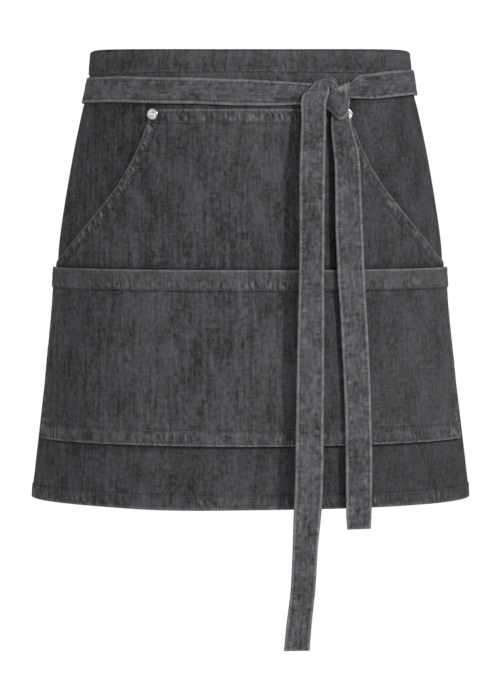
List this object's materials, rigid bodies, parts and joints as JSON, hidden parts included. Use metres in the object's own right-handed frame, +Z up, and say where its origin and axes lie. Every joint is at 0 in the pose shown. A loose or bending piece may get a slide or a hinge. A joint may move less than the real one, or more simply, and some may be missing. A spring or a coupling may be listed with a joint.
{
  "type": "waist apron",
  "caption": "Wrapped waist apron in washed denim with a curved hand pocket over a wide lower pocket, capped rivets and fabric ties knotted in front.",
  "frame": {"origin": "middle of the wearer's waist, at the height of the ties", "axes": "+Z up the wearer, the front of the apron faces -Y, +X to the right of the picture (the wearer's left)"},
  "size_m": [0.3942, 0.2325, 0.5188],
  "materials": {
    "denim": "washed charcoal twill with worn seam edges, matte",
    "tie_denim": "the same washed twill, a little lighter, doubled and edge-stitched",
    "rivet_metal": "bright domed cap with a pressed ring"
  },
  "bodies": {
    "root": {"apron_panel": "denim", "waistband": "denim", "hand_pocket": "denim", "lower_pocket": "denim", "tie_short": "tie_denim", "tie_long": "tie_denim", "rivet_left": "rivet_metal", "rivet_right": "rivet_metal"}
  },
  "joints": []
}
